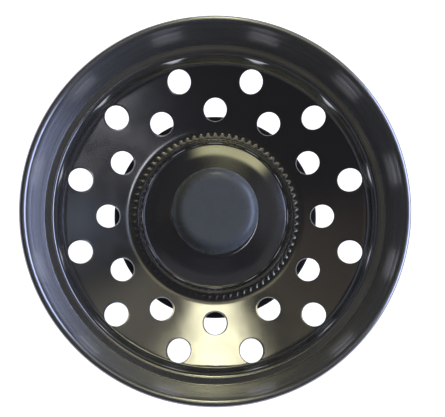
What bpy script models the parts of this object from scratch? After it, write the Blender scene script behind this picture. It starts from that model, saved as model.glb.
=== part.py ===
"""Sink strainer basket with a grip knob, a rubber stopper and a ball-lock post.

Everything is in metres with +Z up. The origin is on the basket's axis, in the
plane of the rubber stopper's sealing face, which lands on the drain body's
seat. The cup opens upwards, and the post points down through the drain.

The pieces are stacked on one stud. Going up from the seat they are the rubber
stopper, the backing plate, the floor of the cup, the tooth washer, the centre
cap and the knob. Going down they are the cup washer, the lock washer, the
clamp nut, the jam nut and the ball head with its two sprung balls.
"""

import math

import bmesh
import bpy
from mathutils import Matrix, Vector

# Clearances, shared by all pieces
SEAT_GAP = 0.0003  # between two faces that are clamped together
BORE_GAP = 0.0003  # round the stud, in each hole that it passes through
OVERRUN = 0.002  # how far a cutter runs past the face that it leaves
WELD = 0.000001  # points closer than this are one point

# Basket shell, one stamped and rolled sheet. Radii and heights are of the middle of the sheet.
SHEET = 0.0007
RIM_RADIUS = 0.04125
CUP_DEPTH = 0.0232  # from the top of the rolled rim to the upper face of the floor
BEAD_DIAMETER = 0.0016
BEAD_END = math.radians(-75)  # where the curl stops, measured round the bead from +X
WALL_TAPER = math.radians(12)  # from the vertical
LEDGE_DEPTH = 0.0143
LEDGE_INNER_RADIUS = 0.0348
LEDGE_FILLET = 0.0006
RISER_SLOPE = math.radians(84)  # from the horizontal
DISH_SLOPE = math.radians(11)
DISH_CORNER = 0.0018
FLOOR_FLAT_RADIUS = 0.0190
FLOOR_BLEND = 0.0060
SHELL_SEGMENTS = 48

# Drain holes, two rings half a step apart
HOLES_PER_RING = 12
INNER_HOLE_RING = 0.0234
OUTER_HOLE_RING = 0.0304
HOLE_DIAMETER = 0.0050
INNER_HOLE_STRETCH = 1.02  # radial over tangential, left by the forming
OUTER_HOLE_STRETCH = 1.07
HOLE_SIDES = 14

# Tooth washer, whose teeth show round the foot of the cap
TOOTH_COUNT = 72
TOOTH_TIP_RADIUS = 0.0182
TOOTH_ROOT_RADIUS = 0.0174
TOOTH_WASHER_INNER_RADIUS = 0.0146
TOOTH_WASHER_THICKNESS = 0.0008
TOOTH_TOP_SHARE = 0.4  # of the pitch
WASHER_INNER_SIDES = 36

# Centre cap, a pressed dome with a turned-up brim, which stands on the tooth washer. Its radii
# are of the middle of the sheet.
CAP_SHEET = 0.0006
CAP_RADIUS = 0.01685
CAP_HEIGHT = 0.0046
CAP_SHOULDER_RADIUS = 0.0112
CAP_SHOULDER_DROP = 0.0004
CAP_SHOULDER_BLEND = 0.0140
CAP_EDGE_HEIGHT = 0.0022
CAP_EDGE_BLEND = 0.0008
CAP_EDGE_DRAFT = 0.00085
CAP_BRIM_WIDTH = 0.00055
CAP_BRIM_RISE = math.radians(11.5)
CAP_FOOT_BLEND = 0.00035
CAP_SEGMENTS = 30

# Stud, M5, which ties the whole stack together
STUD_DIAMETER = 0.0050
STUD_CHAMFER = 0.0006
STUD_SEGMENTS = 20

# Knob, moulded round a threaded insert
KNOB_RADIUS = 0.0091
KNOB_ABOVE_RIM = 0.0012
KNOB_HEAD_HEIGHT = 0.0046
KNOB_TOP_ROUND = 0.0026
KNOB_LIP_ROUND = 0.0011
KNOB_UNDERCUT = 0.0034  # height over which the head narrows to the neck
KNOB_NECK_RADIUS = 0.0056
KNOB_NECK_ROUND = 0.0026
KNOB_FOOT_RADIUS = 0.0074
KNOB_FOOT_HEIGHT = 0.0010
KNOB_FOOT_FLARE = 0.0028
KNOB_FOOT_BLEND = 0.0016
KNOB_SEGMENTS = 32

# Threaded insert in the knob, with a groove that the moulding locks into
INSERT_RADIUS = 0.0041
INSERT_LENGTH = 0.0090
INSERT_WEB = 0.0012  # solid metal above the blind bore
INSERT_GROOVE_DEPTH = 0.0005
INSERT_GROOVE_WIDTH = 0.0020
INSERT_SEGMENTS = 24

# Backing plate between the cup and the rubber
BACKING_RADIUS = 0.0120
BACKING_THICKNESS = 0.0008
BACKING_CHAMFER = 0.0002
PLATE_SEGMENTS = 32

# Rubber stopper, an umbrella with a flat sealing ring and a thick hub
STOPPER_RADIUS = 0.0222
STOPPER_LIP = 0.0016  # thickness of the sealing ring
STOPPER_LIP_ROUND = 0.0004
STOPPER_SEAL_INNER_RADIUS = 0.0178
STOPPER_CROWN = 0.0031  # height of the hub's top above the sealing face
STOPPER_CROWN_RADIUS = 0.0120
STOPPER_WEB = 0.0014
STOPPER_RELIEF_SLOPE = 0.0010
STOPPER_HUB_RADIUS = 0.0098
STOPPER_HUB_DROP = 0.0030
STOPPER_SEGMENTS = 32

# Cup washer, which holds the rubber hub from below
CUP_WASHER_SHEET = 0.0008
CUP_WASHER_RIM_HEIGHT = 0.0016
CUP_WASHER_CORNER = 0.0009
CUP_WASHER_SEGMENTS = 24

# Split lock washer
LOCK_WASHER_OUTER_RADIUS = 0.0046
LOCK_WASHER_THICKNESS = 0.0012
LOCK_WASHER_LEAD = 0.0003  # how far the spring ends stand apart
LOCK_WASHER_TURN = math.radians(352)
LOCK_WASHER_STEPS = 32

# Hexagon nuts
NUT_ACROSS_FLATS = 0.0080
CLAMP_NUT_HEIGHT = 0.0040
JAM_NUT_HEIGHT = 0.0027
NUT_CHAMFER = math.radians(30)
NUT_FACE_SHARE = 0.95  # the chamfer's face circle, of the width across flats
NUT_BORE_SIDES = 24
NUT_SPACING = 0.0012  # bare thread between the two nuts

# Ball head, the tip of the post that snaps through the drain's cross-bar
HEAD_DIAMETER = 0.0095
HEAD_LENGTH = 0.0165
HEAD_NOSE_ROUND = 0.0018
HEAD_TOP_CHAMFER = 0.0006
HEAD_THREAD_DEPTH = 0.0070
HEAD_SEGMENTS = 28
BALL_HEIGHT = 0.0062  # ball centres above the tip of the head

# Balls, their cross hole and their spring
BALL_DIAMETER = 0.003969
BALL_GAP = 0.0001  # between a ball and the lip that keeps it in
CROSS_HOLE_CLEARANCE = 0.0003
LIP_RADIUS = 0.00185
LIP_THICKNESS = 0.0002
LIP_CONE = 0.0003
CROSS_HOLE_SIDES = 24
BALL_SEGMENTS = 14
BALL_RINGS = 8
SPRING_WIRE = 0.00035
SPRING_DIAMETER = 0.0030
SPRING_TURNS = 4
SPRING_POINTS_PER_TURN = 10
SPRING_GAP = 0.0001

# Colours are linear, as the shader takes them
STEEL = ("polished_steel", (0.52, 0.52, 0.53), 0.12, 1.0)
ZINC = ("zinc_plated_steel", (0.60, 0.62, 0.64), 0.32, 1.0)
BRASS = ("plated_brass", (0.66, 0.64, 0.60), 0.20, 1.0)
RAW_BRASS = ("brass", (0.62, 0.44, 0.17), 0.30, 1.0)
RUBBER = ("black_rubber", (0.012, 0.012, 0.013), 0.60, 0.0)
PLASTIC = ("grey_plastic", (0.070, 0.080, 0.095), 0.38, 0.0)

ARC_STEP = math.radians(30)  # the most that one facet of a rounded corner turns

# Radii that several pieces share
BORE_RADIUS = STUD_DIAMETER / 2 + BORE_GAP

# Heights of the stack, up from the seat and down from it
BACKING_BOTTOM = STOPPER_CROWN + SEAT_GAP
FLOOR_BOTTOM = BACKING_BOTTOM + BACKING_THICKNESS + SEAT_GAP
FLOOR_TOP = FLOOR_BOTTOM + SHEET
RIM_TOP = FLOOR_TOP + CUP_DEPTH
TOOTH_WASHER_BOTTOM = FLOOR_TOP + SEAT_GAP
CAP_BOTTOM = TOOTH_WASHER_BOTTOM + TOOTH_WASHER_THICKNESS + SEAT_GAP
CAP_TOP = CAP_BOTTOM + CAP_HEIGHT
KNOB_BOTTOM = CAP_TOP + SEAT_GAP
KNOB_TOP = RIM_TOP + KNOB_ABOVE_RIM
INSERT_TOP = KNOB_BOTTOM + INSERT_LENGTH
STUD_TOP = INSERT_TOP - INSERT_WEB - SEAT_GAP
CUP_WASHER_TOP = -STOPPER_HUB_DROP - SEAT_GAP
LOCK_WASHER_TOP = CUP_WASHER_TOP - CUP_WASHER_SHEET - SEAT_GAP
CLAMP_NUT_TOP = LOCK_WASHER_TOP - LOCK_WASHER_THICKNESS - LOCK_WASHER_LEAD - SEAT_GAP
JAM_NUT_TOP = CLAMP_NUT_TOP - CLAMP_NUT_HEIGHT - NUT_SPACING
HEAD_TOP = JAM_NUT_TOP - JAM_NUT_HEIGHT - SEAT_GAP
HEAD_BOTTOM = HEAD_TOP - HEAD_LENGTH
STUD_BOTTOM = HEAD_TOP - HEAD_THREAD_DEPTH + SEAT_GAP
BALL_LEVEL = HEAD_BOTTOM + BALL_HEIGHT


def clear_scene():
    """Empties the scene that the script starts in."""
    for old in list(bpy.data.objects):
        bpy.data.objects.remove(old, do_unlink=True)


def material(name, colour, roughness, metallic):
    """Returns the named finish, made once."""
    found = bpy.data.materials.get(name)
    if found:
        return found
    made = bpy.data.materials.new(name)
    made.use_nodes = True
    shader = made.node_tree.nodes["Principled BSDF"]
    shader.inputs["Base Color"].default_value = (*colour, 1.0)
    shader.inputs["Roughness"].default_value = roughness
    shader.inputs["Metallic"].default_value = metallic
    made.diffuse_color = (*colour, 1.0)
    return made


def add_object(name, data, parent=None):
    """Links an object to the scene and hangs it on its parent."""
    made = bpy.data.objects.new(name, data)
    bpy.context.scene.collection.objects.link(made)
    made.parent = parent
    return made


def mesh_object(name, bm, finish, parent):
    """Turns a bmesh into a smooth shaded object with outward faces."""
    bmesh.ops.remove_doubles(bm, verts=bm.verts, dist=WELD)
    bmesh.ops.recalc_face_normals(bm, faces=bm.faces)
    mesh = bpy.data.meshes.new(name)
    bm.to_mesh(mesh)
    bm.free()
    mesh.shade_smooth()
    mesh.set_sharp_from_angle(angle=ARC_STEP)
    mesh.materials.append(material(*finish))
    return add_object(name, mesh, parent)


def rounded_path(corners, radii):
    """Returns points along a path of straight runs whose corners are rounded.

    Each corner is (radius from the axis, height) and has one fillet radius,
    zero for a sharp corner and for the two ends.
    """
    points = [Vector(corners[0])]
    for before, corner, after, radius in zip(corners, corners[1:], corners[2:], radii[1:]):
        here = Vector(corner)
        back = (Vector(before) - here).normalized()
        ahead = (Vector(after) - here).normalized()
        turn = math.pi - back.angle(ahead)
        if not radius or turn < math.radians(1):
            points.append(here)
            continue
        reach = radius * math.tan(turn / 2)
        centre = here + (back + ahead).normalized() * radius / math.cos(turn / 2)
        start = here + back * reach - centre
        way = 1 if back.x * ahead.y - back.y * ahead.x < 0 else -1
        steps = max(2, math.ceil(turn / ARC_STEP))
        for step in range(steps + 1):
            arm = Matrix.Rotation(way * turn * step / steps, 2) @ start
            points.append(centre + arm)
    points.append(Vector(corners[-1]))
    return points


def spun(path, segments, closed):
    """Turns a path in the XZ plane once about the Z axis."""
    bm = bmesh.new()
    ring = [bm.verts.new((point.x, 0, point.y)) for point in path]
    edges = [bm.edges.new(pair) for pair in zip(ring, ring[1:])]
    if closed:
        edges.append(bm.edges.new((ring[-1], ring[0])))
    bmesh.ops.spin(
        bm,
        geom=ring + edges,
        cent=(0, 0, 0),
        axis=(0, 0, 1),
        angle=math.tau,
        steps=segments,
        use_merge=True,
    )
    bmesh.ops.remove_doubles(bm, verts=bm.verts, dist=WELD)
    return bm


def turned(name, path, segments, finish, parent):
    """A solid of revolution. A path that starts off the axis is closed on itself."""
    closed = path[0].x > WELD
    return mesh_object(name, spun(path, segments, closed), finish, parent)


def turned_sheet(name, path, thickness, segments, finish, parent):
    """A sheet of even thickness, turned from the line along its middle."""
    made = mesh_object(name, spun(path, segments, False), finish, parent)
    wall = made.modifiers.new("sheet thickness", "SOLIDIFY")
    wall.thickness = thickness
    wall.offset = 0
    wall.use_even_offset = True
    return made


def boolean(target, other, operation):
    """Combines target with other, which becomes a hidden helper."""
    cut = target.modifiers.new(other.name, "BOOLEAN")
    cut.operation = operation
    cut.solver = "EXACT"
    cut.object = other
    other.hide_render = True
    other.display_type = "WIRE"
    return cut


def shell_path():
    """The middle of the basket's sheet, from the stud hole out and up to the end of the curl."""
    floor = FLOOR_TOP - SHEET / 2
    ledge = RIM_TOP - LEDGE_DEPTH
    bead_radius = (BEAD_DIAMETER - SHEET) / 2
    bead = Vector((RIM_RADIUS - BEAD_DIAMETER / 2, RIM_TOP - BEAD_DIAMETER / 2))
    bead_start = math.pi - WALL_TAPER
    wall_top = bead + bead_radius * Vector((math.cos(bead_start), math.sin(bead_start)))
    wall_foot = wall_top.x - (wall_top.y - ledge) * math.tan(WALL_TAPER)

    # The sloping dish and the steep riser below the ledge meet at this corner
    riser = math.tan(RISER_SLOPE)
    dish = math.tan(DISH_SLOPE)
    corner = (floor - FLOOR_FLAT_RADIUS * dish - ledge + LEDGE_INNER_RADIUS * riser) / (riser - dish)
    corner_height = floor + (corner - FLOOR_FLAT_RADIUS) * dish

    path = rounded_path(
        [
            (BORE_RADIUS, floor),
            (FLOOR_FLAT_RADIUS, floor),
            (corner, corner_height),
            (LEDGE_INNER_RADIUS, ledge),
            (wall_foot, ledge),
            wall_top,
        ],
        [0, FLOOR_BLEND, DISH_CORNER, LEDGE_FILLET, LEDGE_FILLET, 0],
    )
    steps = math.ceil((bead_start - BEAD_END) / ARC_STEP)
    for step in range(1, steps + 1):
        angle = bead_start + (BEAD_END - bead_start) * step / steps
        path.append(bead + bead_radius * Vector((math.cos(angle), math.sin(angle))))
    return path


def hole_cutter():
    """All drain holes as one helper: two rings of oval prisms, half a step apart."""
    bm = bmesh.new()
    bottom = FLOOR_BOTTOM - OVERRUN
    top = RIM_TOP - LEDGE_DEPTH + OVERRUN
    step = math.tau / HOLES_PER_RING
    rings = [
        (INNER_HOLE_RING, INNER_HOLE_STRETCH, 0),
        (OUTER_HOLE_RING, OUTER_HOLE_STRETCH, step / 2),
    ]
    for ring, stretch, start in rings:
        for number in range(HOLES_PER_RING):
            place = (
                Matrix.Rotation(start + number * step, 4, "Z")
                @ Matrix.Translation((ring, 0, (bottom + top) / 2))
                @ Matrix.Diagonal((stretch, 1, 1, 1))
            )
            bmesh.ops.create_cone(
                bm,
                cap_ends=True,
                segments=HOLE_SIDES,
                radius1=HOLE_DIAMETER / 2,
                radius2=HOLE_DIAMETER / 2,
                depth=top - bottom,
                matrix=place,
            )
    return mesh_object("drain_hole_cutter", bm, STEEL, None)


def basket_shell(parent):
    """The perforated cup with its ledge, its tapered wall and its rolled rim."""
    shell = turned_sheet("basket_shell", shell_path(), SHEET, SHELL_SEGMENTS, STEEL, parent)
    boolean(shell, hole_cutter(), "DIFFERENCE")
    return shell


def tooth_washer(parent):
    """A flat ring with fine teeth round its outer edge."""
    bm = bmesh.new()
    pitch = math.tau / TOOTH_COUNT
    flank = (1 - TOOTH_TOP_SHARE) / 2
    outer = []
    for tooth in range(TOOTH_COUNT):
        for share, radius in (
            (-TOOTH_TOP_SHARE / 2, TOOTH_TIP_RADIUS),
            (TOOTH_TOP_SHARE / 2, TOOTH_TIP_RADIUS),
            (TOOTH_TOP_SHARE / 2 + flank, TOOTH_ROOT_RADIUS),
        ):
            angle = (tooth + share) * pitch
            outer.append((radius * math.cos(angle), radius * math.sin(angle)))
    inner = []
    for side in range(WASHER_INNER_SIDES):
        angle = side * math.tau / WASHER_INNER_SIDES
        inner.append((TOOTH_WASHER_INNER_RADIUS * math.cos(angle), TOOTH_WASHER_INNER_RADIUS * math.sin(angle)))
    edges = []
    for loop in (outer, inner):
        ring = [bm.verts.new((x, y, TOOTH_WASHER_BOTTOM)) for x, y in loop]
        edges += [bm.edges.new((a, b)) for a, b in zip(ring, ring[1:] + ring[:1])]
    bmesh.ops.triangle_fill(bm, edges=edges, use_beauty=True)
    grown = bmesh.ops.extrude_face_region(bm, geom=list(bm.faces))
    raised = [item for item in grown["geom"] if isinstance(item, bmesh.types.BMVert)]
    bmesh.ops.translate(bm, verts=raised, vec=(0, 0, TOOTH_WASHER_THICKNESS))
    return mesh_object("tooth_washer", bm, STEEL, parent)


def centre_cap(parent):
    """A pressed dome: nearly flat inside, curving down to a short steep edge and out into a brim."""
    top = CAP_TOP - CAP_SHEET / 2
    foot = CAP_RADIUS - CAP_BRIM_WIDTH
    foot_height = CAP_BOTTOM + CAP_SHEET / 2
    path = rounded_path(
        [
            (BORE_RADIUS, top),
            (CAP_SHOULDER_RADIUS, top - CAP_SHOULDER_DROP),
            (foot - CAP_EDGE_DRAFT, CAP_BOTTOM + CAP_EDGE_HEIGHT),
            (foot, foot_height),
            (CAP_RADIUS, foot_height + CAP_BRIM_WIDTH * math.tan(CAP_BRIM_RISE)),
        ],
        [0, CAP_SHOULDER_BLEND, CAP_EDGE_BLEND, CAP_FOOT_BLEND, 0],
    )
    return turned_sheet("centre_cap", path, CAP_SHEET, CAP_SEGMENTS, STEEL, parent)


def knob(parent):
    """A mushroom grip with a flat top, an undercut for the fingers and a flared foot."""
    head_bottom = KNOB_TOP - KNOB_HEAD_HEIGHT
    neck_top = head_bottom - KNOB_UNDERCUT
    foot_top = KNOB_BOTTOM + KNOB_FOOT_HEIGHT
    socket = INSERT_RADIUS + BORE_GAP
    socket_top = INSERT_TOP + SEAT_GAP
    path = rounded_path(
        [
            (0, KNOB_TOP),
            (KNOB_RADIUS, KNOB_TOP),
            (KNOB_RADIUS, head_bottom),
            (KNOB_NECK_RADIUS, neck_top),
            (KNOB_NECK_RADIUS, foot_top + KNOB_FOOT_FLARE),
            (KNOB_FOOT_RADIUS, foot_top),
            (KNOB_FOOT_RADIUS, KNOB_BOTTOM),
            (socket, KNOB_BOTTOM),
            (socket, socket_top),
            (0, socket_top),
        ],
        [0, KNOB_TOP_ROUND, KNOB_LIP_ROUND, KNOB_NECK_ROUND, KNOB_FOOT_BLEND, 0, 0, 0, 0, 0],
    )
    return turned("knob", path, KNOB_SEGMENTS, PLASTIC, parent)


def knob_insert(parent):
    """A blind threaded bush with one groove round its middle."""
    middle = KNOB_BOTTOM + INSERT_LENGTH / 2
    groove = INSERT_GROOVE_WIDTH / 2
    waist = INSERT_RADIUS - INSERT_GROOVE_DEPTH
    bore_top = INSERT_TOP - INSERT_WEB
    path = rounded_path(
        [
            (0, INSERT_TOP),
            (INSERT_RADIUS, INSERT_TOP),
            (INSERT_RADIUS, middle + groove),
            (waist, middle + groove),
            (waist, middle - groove),
            (INSERT_RADIUS, middle - groove),
            (INSERT_RADIUS, KNOB_BOTTOM),
            (BORE_RADIUS, KNOB_BOTTOM),
            (BORE_RADIUS, bore_top),
            (0, bore_top),
        ],
        [0] * 10,
    )
    return turned("knob_insert", path, INSERT_SEGMENTS, RAW_BRASS, parent)


def stud(parent):
    """The threaded rod, with a chamfer at each end."""
    radius = STUD_DIAMETER / 2
    end = radius - STUD_CHAMFER
    path = rounded_path(
        [
            (0, STUD_TOP),
            (end, STUD_TOP),
            (radius, STUD_TOP - STUD_CHAMFER),
            (radius, STUD_BOTTOM + STUD_CHAMFER),
            (end, STUD_BOTTOM),
            (0, STUD_BOTTOM),
        ],
        [0] * 6,
    )
    return turned("stud", path, STUD_SEGMENTS, ZINC, parent)


def backing_plate(parent):
    """A flat steel disc that spreads the clamping load over the rubber."""
    top = BACKING_BOTTOM + BACKING_THICKNESS
    path = rounded_path(
        [
            (BORE_RADIUS, top),
            (BACKING_RADIUS - BACKING_CHAMFER, top),
            (BACKING_RADIUS, top - BACKING_CHAMFER),
            (BACKING_RADIUS, BACKING_BOTTOM),
            (BORE_RADIUS, BACKING_BOTTOM),
        ],
        [0] * 5,
    )
    return turned("backing_plate", path, PLATE_SEGMENTS, ZINC, parent)


def rubber_stopper(parent):
    """An umbrella of rubber: a thin web, a flat sealing ring at its edge and a thick hub."""
    hub_bottom = -STOPPER_HUB_DROP
    web_edge = STOPPER_SEAL_INNER_RADIUS - STOPPER_RELIEF_SLOPE
    # The web keeps its thickness below the sloping top
    fall = (STOPPER_CROWN - STOPPER_LIP) / (STOPPER_RADIUS - STOPPER_CROWN_RADIUS)
    web_outer = STOPPER_CROWN - (web_edge - STOPPER_CROWN_RADIUS) * fall - STOPPER_WEB
    web_inner = STOPPER_CROWN - STOPPER_WEB
    path = rounded_path(
        [
            (BORE_RADIUS, STOPPER_CROWN),
            (STOPPER_CROWN_RADIUS, STOPPER_CROWN),
            (STOPPER_RADIUS, STOPPER_LIP),
            (STOPPER_RADIUS, 0),
            (STOPPER_SEAL_INNER_RADIUS, 0),
            (web_edge, web_outer),
            (STOPPER_HUB_RADIUS, web_inner),
            (STOPPER_HUB_RADIUS, hub_bottom),
            (BORE_RADIUS, hub_bottom),
        ],
        [0, 0, STOPPER_LIP_ROUND, STOPPER_LIP_ROUND, 0, 0, STOPPER_WEB / 2, STOPPER_LIP_ROUND, 0],
    )
    return turned("rubber_stopper", path, STOPPER_SEGMENTS, RUBBER, parent)


def cup_washer(parent):
    """A steel washer with an upturned rim round the foot of the rubber hub."""
    middle = CUP_WASHER_TOP - CUP_WASHER_SHEET / 2
    rim = STOPPER_HUB_RADIUS + BORE_GAP + CUP_WASHER_SHEET / 2
    path = rounded_path(
        [(BORE_RADIUS, middle), (rim, middle), (rim, CUP_WASHER_TOP + CUP_WASHER_RIM_HEIGHT)],
        [0, CUP_WASHER_CORNER, 0],
    )
    return turned_sheet("cup_washer", path, CUP_WASHER_SHEET, CUP_WASHER_SEGMENTS, STEEL, parent)


def lock_washer(parent):
    """A split spring washer: a square section swept round nearly one turn as a slight helix."""
    bm = bmesh.new()
    bottom = LOCK_WASHER_TOP - LOCK_WASHER_LEAD - LOCK_WASHER_THICKNESS
    top = bottom + LOCK_WASHER_THICKNESS
    section = [
        (BORE_RADIUS, bottom),
        (LOCK_WASHER_OUTER_RADIUS, bottom),
        (LOCK_WASHER_OUTER_RADIUS, top),
        (BORE_RADIUS, top),
    ]
    face = bm.faces.new([bm.verts.new((radius, 0, height)) for radius, height in section])
    bmesh.ops.spin(
        bm,
        geom=[face],
        cent=(0, 0, 0),
        axis=(0, 0, 1),
        dvec=(0, 0, LOCK_WASHER_LEAD / LOCK_WASHER_STEPS),
        angle=LOCK_WASHER_TURN,
        steps=LOCK_WASHER_STEPS,
    )
    return mesh_object("lock_washer", bm, ZINC, parent)


def hex_nut(name, top, height, parent):
    """A hexagon nut, chamfered on both faces and bored for the stud.

    The envelope is a ring between two flat cones, which meet the nut's faces
    in the chamfer circle. Its inner wall is the bore.
    """
    corner = NUT_ACROSS_FLATS / math.sqrt(3)
    face = NUT_ACROSS_FLATS / 2 * NUT_FACE_SHARE
    outside = corner / math.cos(math.pi / NUT_BORE_SIDES) + SEAT_GAP
    rise = (face - BORE_RADIUS) * math.tan(NUT_CHAMFER)
    drop = (outside - face) * math.tan(NUT_CHAMFER)
    bottom = top - height
    bm = bmesh.new()
    bmesh.ops.create_cone(
        bm,
        cap_ends=True,
        segments=6,
        radius1=corner,
        radius2=corner,
        depth=height,
        matrix=Matrix.Translation((0, 0, top - height / 2)),
    )
    nut = mesh_object(name, bm, ZINC, parent)
    path = [
        Vector((BORE_RADIUS, top + rise)),
        Vector((outside, top - drop)),
        Vector((outside, bottom + drop)),
        Vector((BORE_RADIUS, bottom - rise)),
    ]
    envelope = turned(name + "_envelope", path, NUT_BORE_SIDES, ZINC, None)
    boolean(nut, envelope, "INTERSECT")
    return nut


def cross_hole_sizes():
    """The cross hole's radius, and the distance from the axis at which its lips begin."""
    hole = BALL_DIAMETER / 2 + CROSS_HOLE_CLEARANCE
    lip = HEAD_DIAMETER / 2 - LIP_THICKNESS
    return hole, lip


def ball_reach():
    """Distance of a ball's centre from the axis, where it rests on the inner edge of its lip."""
    hole, lip = cross_hole_sizes()
    ball = BALL_DIAMETER / 2 + BALL_GAP
    return lip - math.sqrt(ball * ball - LIP_RADIUS * LIP_RADIUS)


def cross_hole_cutter():
    """The cross hole with a narrowed mouth at each end, laid along X."""
    hole, lip = cross_hole_sizes()
    outside = HEAD_DIAMETER / 2 + OVERRUN
    path = rounded_path(
        [
            (0, outside),
            (LIP_RADIUS, outside),
            (LIP_RADIUS, lip),
            (hole, lip - LIP_CONE),
            (hole, LIP_CONE - lip),
            (LIP_RADIUS, -lip),
            (LIP_RADIUS, -outside),
            (0, -outside),
        ],
        [0] * 8,
    )
    cutter = turned("cross_hole_cutter", path, CROSS_HOLE_SIDES, BRASS, None)
    cutter.rotation_euler = (0, math.pi / 2, 0)
    cutter.location = (0, 0, BALL_LEVEL)
    return cutter


def ball_head(parent):
    """The round tip of the post, bored from above for the stud and across for the balls."""
    radius = HEAD_DIAMETER / 2
    thread_bottom = HEAD_TOP - HEAD_THREAD_DEPTH
    path = rounded_path(
        [
            (0, HEAD_BOTTOM),
            (radius, HEAD_BOTTOM),
            (radius, HEAD_TOP - HEAD_TOP_CHAMFER),
            (radius - HEAD_TOP_CHAMFER, HEAD_TOP),
            (BORE_RADIUS, HEAD_TOP),
            (BORE_RADIUS, thread_bottom),
            (0, thread_bottom),
        ],
        [0, HEAD_NOSE_ROUND, 0, 0, 0, 0, 0],
    )
    head = turned("ball_head", path, HEAD_SEGMENTS, BRASS, parent)
    boolean(head, cross_hole_cutter(), "DIFFERENCE")
    return head


def detent_ball(name, side, parent):
    """One steel ball, hung on an empty at its centre, which slides along X."""
    pivot = add_object(name + "_slide", None, parent)
    pivot.location = (side * ball_reach(), 0, BALL_LEVEL)
    bm = bmesh.new()
    bmesh.ops.create_uvsphere(bm, u_segments=BALL_SEGMENTS, v_segments=BALL_RINGS, radius=BALL_DIAMETER / 2)
    return mesh_object(name, bm, STEEL, pivot)


def detent_spring(parent):
    """A small helical spring along X that presses the two balls apart."""
    coil = (SPRING_DIAMETER - SPRING_WIRE) / 2
    ball = BALL_DIAMETER / 2 + SPRING_WIRE / 2 + SPRING_GAP
    end = ball_reach() - math.sqrt(ball * ball - coil * coil)
    count = SPRING_TURNS * SPRING_POINTS_PER_TURN
    curve = bpy.data.curves.new("detent_spring", "CURVE")
    curve.dimensions = "3D"
    curve.bevel_depth = SPRING_WIRE / 2
    curve.bevel_resolution = 1
    curve.use_fill_caps = True
    wire = curve.splines.new("POLY")
    wire.points.add(count)
    for number, point in enumerate(wire.points):
        angle = math.tau * number / SPRING_POINTS_PER_TURN
        height = end * (2 * number / count - 1)
        point.co = (coil * math.cos(angle), coil * math.sin(angle), height, 1)
    curve.materials.append(material(*ZINC))
    spring = add_object("detent_spring", curve, parent)
    spring.rotation_euler = (0, math.pi / 2, 0)
    spring.location = (0, 0, BALL_LEVEL)
    return spring


def main():
    clear_scene()
    frame = add_object("strainer", None)
    basket_shell(frame)
    tooth_washer(frame)
    centre_cap(frame)
    knob(frame)
    knob_insert(frame)
    stud(frame)
    backing_plate(frame)
    rubber_stopper(frame)
    cup_washer(frame)
    lock_washer(frame)
    hex_nut("clamp_nut", CLAMP_NUT_TOP, CLAMP_NUT_HEIGHT, frame)
    hex_nut("jam_nut", JAM_NUT_TOP, JAM_NUT_HEIGHT, frame)
    ball_head(frame)
    detent_ball("detent_ball_right", 1, frame)
    detent_ball("detent_ball_left", -1, frame)
    detent_spring(frame)


main()
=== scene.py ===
"""The looks of a lift-out sink strainer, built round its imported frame.

The strainer is a stack of pressed, turned and moulded pieces on one stud. Each
sub-assembly is a class that holds its sizes in millimetres, builds its meshes with numpy
and dresses them. A surface is always a grid of points: a profile, which is a list of
(radius, height) pairs, carried round an axis, or a function of two parameters worked out
for whole arrays.
"""

from __future__ import annotations

import logging
from dataclasses import dataclass, field
from enum import Enum
from math import acos, atan, ceil, cos, pi, radians, sin, sqrt, tan, tau

import bmesh
import bpy
import numpy as np
from mathutils import Matrix, Vector

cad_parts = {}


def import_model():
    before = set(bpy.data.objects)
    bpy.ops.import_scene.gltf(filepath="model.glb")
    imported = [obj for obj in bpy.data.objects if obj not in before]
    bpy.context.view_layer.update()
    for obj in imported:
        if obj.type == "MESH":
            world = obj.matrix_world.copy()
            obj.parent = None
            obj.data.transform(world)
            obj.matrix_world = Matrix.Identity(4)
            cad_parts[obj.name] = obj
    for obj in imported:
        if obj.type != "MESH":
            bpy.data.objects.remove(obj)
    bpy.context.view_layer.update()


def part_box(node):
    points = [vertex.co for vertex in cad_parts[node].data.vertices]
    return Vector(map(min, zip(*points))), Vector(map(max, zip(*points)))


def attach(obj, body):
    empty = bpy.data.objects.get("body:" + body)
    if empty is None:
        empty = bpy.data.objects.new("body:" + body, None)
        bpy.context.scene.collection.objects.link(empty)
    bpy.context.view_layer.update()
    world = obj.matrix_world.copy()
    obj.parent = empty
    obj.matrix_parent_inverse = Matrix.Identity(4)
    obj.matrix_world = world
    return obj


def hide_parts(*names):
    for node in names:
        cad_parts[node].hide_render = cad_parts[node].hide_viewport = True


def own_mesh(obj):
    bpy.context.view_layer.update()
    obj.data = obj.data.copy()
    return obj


LOG = logging.getLogger("strainer")

Array = np.ndarray
Piece = bpy.types.Object
Tree = bpy.types.NodeTree
Node = bpy.types.Node
Socket = bpy.types.NodeSocket

MM = 0.001
WELD = 2e-7  # metres: grid edges that meet come from the same numbers, so this is rounding
ARC_STEP = radians(6)
EDGE_BREAK = 0.12  # the small round that tumbling leaves on a turned or stamped edge
STUD_HOLE = 2.8  # the radius of the hole in each piece that the stud goes through
SHEET_STEP = 0.6  # the longest step along the line of a small pressed sheet
LIP_POINTS = 5  # the points of each of the two rounds on the cut edge of a sheet
ROUND_SHARP = 60  # degrees: the sharp angle of a piece whose edges are all rounded
ROOT = "strainer"
MIX_NUMBERS = (2, 3)  # the Mix node's sockets for two numbers
MIX_COLOURS = (6, 7)  # its sockets for two colours
MIXED_COLOUR = 2  # its output for the mixed colour
BEHIND = 1e-4  # what a direction behind a light counts as, so nothing is divided by zero


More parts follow.
